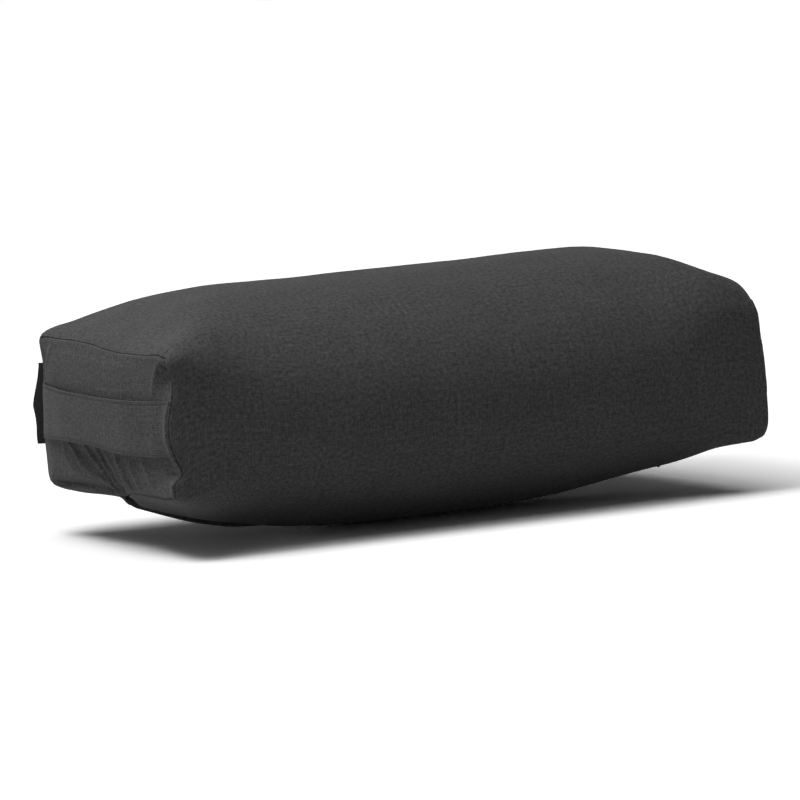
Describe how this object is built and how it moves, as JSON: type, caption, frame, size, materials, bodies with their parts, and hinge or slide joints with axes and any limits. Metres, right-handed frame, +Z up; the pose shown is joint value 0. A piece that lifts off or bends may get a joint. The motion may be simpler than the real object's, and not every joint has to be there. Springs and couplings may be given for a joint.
{
  "type": "rectangular yoga bolster",
  "caption": "Rectangular support bolster with a crowned canvas cover, a carrying strap across each end, a lengthwise zip underneath and a removable filled insert.",
  "frame": {"origin": "on the floor, under the middle of the bolster", "axes": "+X along the length, towards the end where the closed zip's slider is parked and away from the end with the label; +Z up from the zipped underside"},
  "size_m": [0.6416, 0.3319, 0.2409],
  "materials": {
    "canvas": "matte",
    "strap": "matte",
    "label": "matte",
    "zip_tape": "matte",
    "zip_teeth": "satin",
    "zip_metal": "satin",
    "liner": "matte",
    "batting": "matte",
    "foam": "matte"
  },
  "bodies": {
    "cover": {"cover_wrap_panel": "canvas", "cover_end_panel_near": "canvas", "cover_end_panel_far": "canvas", "handle_strap_near": "strap", "handle_strap_far": "strap", "side_label_tab": "label", "zip_tape_left": "zip_tape", "zip_tape_right": "zip_tape", "zip_teeth_left": "zip_teeth", "zip_teeth_right": "zip_teeth", "zip_top_stop_left": "zip_teeth", "zip_top_stop_right": "zip_teeth", "zip_bottom_stop": "zip_teeth", "liner_sleeve": "liner", "liner_end_near": "liner", "liner_end_far": "liner", "batting_outer_wrap": "batting", "batting_inner_wrap": "batting", "foam_core": "foam"},
    "slider": {"zip_slider_body": "zip_metal"},
    "pull": {"zip_pull_tab": "zip_metal"}
  },
  "joints": [
    {"name": "zip_travel", "type": "hinge", "parent": "cover", "child": "slider", "pos_m": [0, 0, 1.00996], "axis": [0, 1, 0], "range_deg": [0, 31], "deforming": ["zip_teeth_left", "zip_teeth_right"]},
    {"name": "pull_swing", "type": "hinge", "parent": "slider", "child": "pull", "pos_m": [0.2745, 0, 0.04145], "axis": [0, 1, 0], "range_deg": [-103, 72]}
  ]
}
